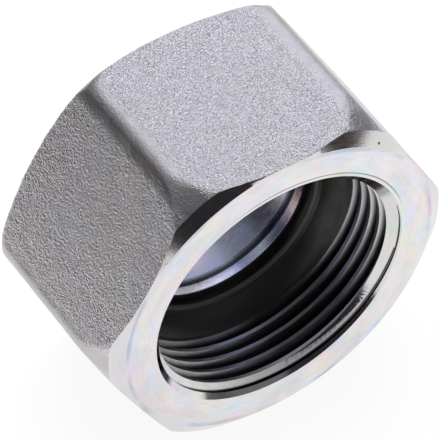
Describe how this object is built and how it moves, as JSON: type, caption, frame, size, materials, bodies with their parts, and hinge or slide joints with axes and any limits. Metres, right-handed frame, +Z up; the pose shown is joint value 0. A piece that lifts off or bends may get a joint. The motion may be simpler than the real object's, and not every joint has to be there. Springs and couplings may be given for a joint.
{
  "type": "hexagonal union nut",
  "caption": "Hexagonal steel union nut with an internal thread, a 45 degree seat cone and a through bore, for clamping a tube to a threaded fitting end.",
  "frame": {"origin": "centre of the bottom of the nut's box, on the flat that it lies on and midway along its length", "axes": "+Y along the nut's axis from its mouth to its rear face, +Z up through the flat opposite the one it lies on, +X towards a ridge"},
  "size_m": [0.0524, 0.027, 0.046],
  "materials": {
    "plated_steel": "zinc-plated steel: fine grained flats, bright turned end ring and thread"
  },
  "bodies": {
    "root": {"union_nut": "plated_steel"}
  },
  "joints": []
}
